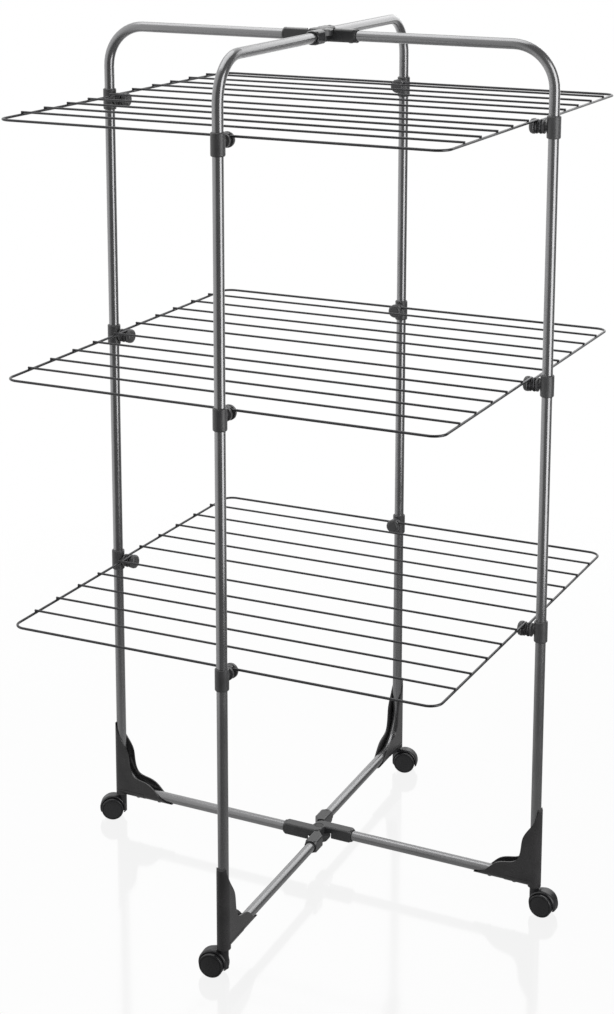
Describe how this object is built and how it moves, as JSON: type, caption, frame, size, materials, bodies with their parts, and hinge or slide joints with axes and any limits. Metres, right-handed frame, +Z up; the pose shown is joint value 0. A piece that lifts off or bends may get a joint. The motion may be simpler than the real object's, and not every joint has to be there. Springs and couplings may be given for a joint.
{
  "type": "clothes drying rack",
  "caption": "Tall folding clothes drying rack on castors: crossing tube frames carry tiers of hinged wire shelves.",
  "frame": {"origin": "on the floor, on the vertical fold axis through both hubs, at the middle of the footprint", "axes": "+X from the left leg to the right leg, along the rods; +Y from the front leg to the back leg; +Z up"},
  "size_m": [0.7714, 0.738, 1.2798],
  "materials": {
    "tube_steel": "silver-grey metallic lacquer, satin",
    "wire_steel": "dark grey metallic powder coat, satin",
    "hub_plastic": "moulded dark grey plastic, fine grain",
    "collar_plastic": "moulded dark grey plastic, fine grain",
    "foot_plastic": "moulded anthracite plastic, fine grain",
    "castor_plastic": "moulded black plastic, satin",
    "wheel_plastic": "moulded black plastic, satin disc",
    "zinc_steel": "zinc plated"
  },
  "bodies": {
    "frame_a": {"bottom_hub_a": "hub_plastic", "castor_stems_a": "zinc_steel", "foot_left": "foot_plastic", "foot_right": "foot_plastic", "foot_rivets_a": "zinc_steel", "hub_pivots": "zinc_steel", "hub_rivets_a": "zinc_steel", "leg_left": "tube_steel", "leg_right": "tube_steel", "spool_caps": "collar_plastic", "spool_left_bottom": "collar_plastic", "spool_left_middle": "collar_plastic", "spool_left_top": "collar_plastic", "spool_right_bottom": "collar_plastic", "spool_right_middle": "collar_plastic", "spool_right_top": "collar_plastic", "top_hub_a": "hub_plastic"},
    "frame_b": {"bottom_hub_b": "hub_plastic", "castor_stems_b": "zinc_steel", "foot_back": "foot_plastic", "foot_front": "foot_plastic", "foot_rivets_b": "zinc_steel", "hub_rivets_b": "zinc_steel", "jaw_back_bottom": "collar_plastic", "jaw_back_middle": "collar_plastic", "jaw_back_top": "collar_plastic", "jaw_front_bottom": "collar_plastic", "jaw_front_middle": "collar_plastic", "jaw_front_top": "collar_plastic", "leg_back": "tube_steel", "leg_front": "tube_steel", "top_hub_b": "hub_plastic"},
    "castor_back": {"castor_axle_back": "zinc_steel", "castor_housing_back": "castor_plastic"},
    "castor_front": {"castor_axle_front": "zinc_steel", "castor_housing_front": "castor_plastic"},
    "castor_left": {"castor_axle_left": "zinc_steel", "castor_housing_left": "castor_plastic"},
    "castor_right": {"castor_axle_right": "zinc_steel", "castor_housing_right": "castor_plastic"},
    "wheel_back_1": {"castor_wheel_back_1": "wheel_plastic"},
    "wheel_back_2": {"castor_wheel_back_2": "wheel_plastic"},
    "wheel_front_1": {"castor_wheel_front_1": "wheel_plastic"},
    "wheel_front_2": {"castor_wheel_front_2": "wheel_plastic"},
    "wheel_left_1": {"castor_wheel_left_1": "wheel_plastic"},
    "wheel_left_2": {"castor_wheel_left_2": "wheel_plastic"},
    "wheel_right_1": {"castor_wheel_right_1": "wheel_plastic"},
    "wheel_right_2": {"castor_wheel_right_2": "wheel_plastic"},
    "wing_back_bottom": {"wing_rods_back_bottom": "wire_steel", "wing_wire_back_bottom": "wire_steel"},
    "wing_back_middle": {"wing_rods_back_middle": "wire_steel", "wing_wire_back_middle": "wire_steel"},
    "wing_back_top": {"wing_rods_back_top": "wire_steel", "wing_wire_back_top": "wire_steel"},
    "wing_front_bottom": {"wing_rods_front_bottom": "wire_steel", "wing_wire_front_bottom": "wire_steel"},
    "wing_front_middle": {"wing_rods_front_middle": "wire_steel", "wing_wire_front_middle": "wire_steel"},
    "wing_front_top": {"wing_rods_front_top": "wire_steel", "wing_wire_front_top": "wire_steel"}
  },
  "joints": [
    {"name": "frame_fold", "type": "hinge", "parent": "frame_a", "child": "frame_b", "pos_m": [0, 0, 0.0511], "axis": [0, 0, 1], "range_deg": [0, 50]},
    {"name": "wing_front_bottom_drop", "type": "hinge", "parent": "frame_a", "child": "wing_front_bottom", "pos_m": [0, 0, 0.436], "axis": [1, 0, 0], "range_deg": [0, 84]},
    {"name": "wing_back_bottom_drop", "type": "hinge", "parent": "frame_a", "child": "wing_back_bottom", "pos_m": [0, 0, 0.436], "axis": [-1, 0, 0], "range_deg": [0, 84]},
    {"name": "wing_front_middle_drop", "type": "hinge", "parent": "frame_a", "child": "wing_front_middle", "pos_m": [0, 0, 0.798], "axis": [1, 0, 0], "range_deg": [0, 84]},
    {"name": "wing_back_middle_drop", "type": "hinge", "parent": "frame_a", "child": "wing_back_middle", "pos_m": [0, 0, 0.798], "axis": [-1, 0, 0], "range_deg": [0, 84]},
    {"name": "wing_front_top_drop", "type": "hinge", "parent": "frame_a", "child": "wing_front_top", "pos_m": [0, 0, 1.16], "axis": [1, 0, 0], "range_deg": [0, 84]},
    {"name": "wing_back_top_drop", "type": "hinge", "parent": "frame_a", "child": "wing_back_top", "pos_m": [0, 0, 1.16], "axis": [-1, 0, 0], "range_deg": [0, 84]},
    {"name": "castor_left_swivel", "type": "hinge", "parent": "frame_a", "child": "castor_left", "pos_m": [-0.35, 0, 0.03], "axis": [0, 0, 1], "continuous": true},
    {"name": "wheel_left_1_roll", "type": "hinge", "parent": "castor_left", "child": "wheel_left_1", "pos_m": [-0.3637, -0.0061, 0.0175], "axis": [0.4067, -0.9135, 0], "continuous": true},
    {"name": "wheel_left_2_roll", "type": "hinge", "parent": "castor_left", "child": "wheel_left_2", "pos_m": [-0.3637, -0.0061, 0.0175], "axis": [0.4067, -0.9135, 0], "continuous": true},
    {"name": "castor_right_swivel", "type": "hinge", "parent": "frame_a", "child": "castor_right", "pos_m": [0.35, 0, 0.03], "axis": [0, 0, 1], "continuous": true},
    {"name": "wheel_right_1_roll", "type": "hinge", "parent": "castor_right", "child": "wheel_right_1", "pos_m": [0.36498, -0.00078, 0.0175], "axis": [0.0523, 0.9986, 0], "continuous": true},
    {"name": "wheel_right_2_roll", "type": "hinge", "parent": "castor_right", "child": "wheel_right_2", "pos_m": [0.36498, -0.00078, 0.0175], "axis": [0.0523, 0.9986, 0], "continuous": true},
    {"name": "castor_front_swivel", "type": "hinge", "parent": "frame_b", "child": "castor_front", "pos_m": [0.02198, -0.34931, 0.03], "axis": [0, 0, 1], "continuous": true},
    {"name": "wheel_front_1_roll", "type": "hinge", "parent": "castor_front", "child": "wheel_front_1", "pos_m": [0.00709, -0.35114, 0.0175], "axis": [0.1219, -0.9925, 0], "continuous": true},
    {"name": "wheel_front_2_roll", "type": "hinge", "parent": "castor_front", "child": "wheel_front_2", "pos_m": [0.00709, -0.35114, 0.0175], "axis": [0.1219, -0.9925, 0], "continuous": true},
    {"name": "castor_back_swivel", "type": "hinge", "parent": "frame_b", "child": "castor_back", "pos_m": [-0.02198, 0.34931, 0.03], "axis": [0, 0, 1], "continuous": true},
    {"name": "wheel_back_1_roll", "type": "hinge", "parent": "castor_back", "child": "wheel_back_1", "pos_m": [-0.00742, 0.35294, 0.0175], "axis": [-0.2419, 0.9703, 0], "continuous": true},
    {"name": "wheel_back_2_roll", "type": "hinge", "parent": "castor_back", "child": "wheel_back_2", "pos_m": [-0.00742, 0.35294, 0.0175], "axis": [-0.2419, 0.9703, 0], "continuous": true}
  ],
  "couplings": [
    {"joint": "wing_front_bottom_drop", "follows": "frame_fold", "ratio": 1.68},
    {"joint": "wing_back_bottom_drop", "follows": "frame_fold", "ratio": 1.68},
    {"joint": "wing_front_middle_drop", "follows": "frame_fold", "ratio": 1.68},
    {"joint": "wing_back_middle_drop", "follows": "frame_fold", "ratio": 1.68},
    {"joint": "wing_front_top_drop", "follows": "frame_fold", "ratio": 1.68},
    {"joint": "wing_back_top_drop", "follows": "frame_fold", "ratio": 1.68}
  ]
}
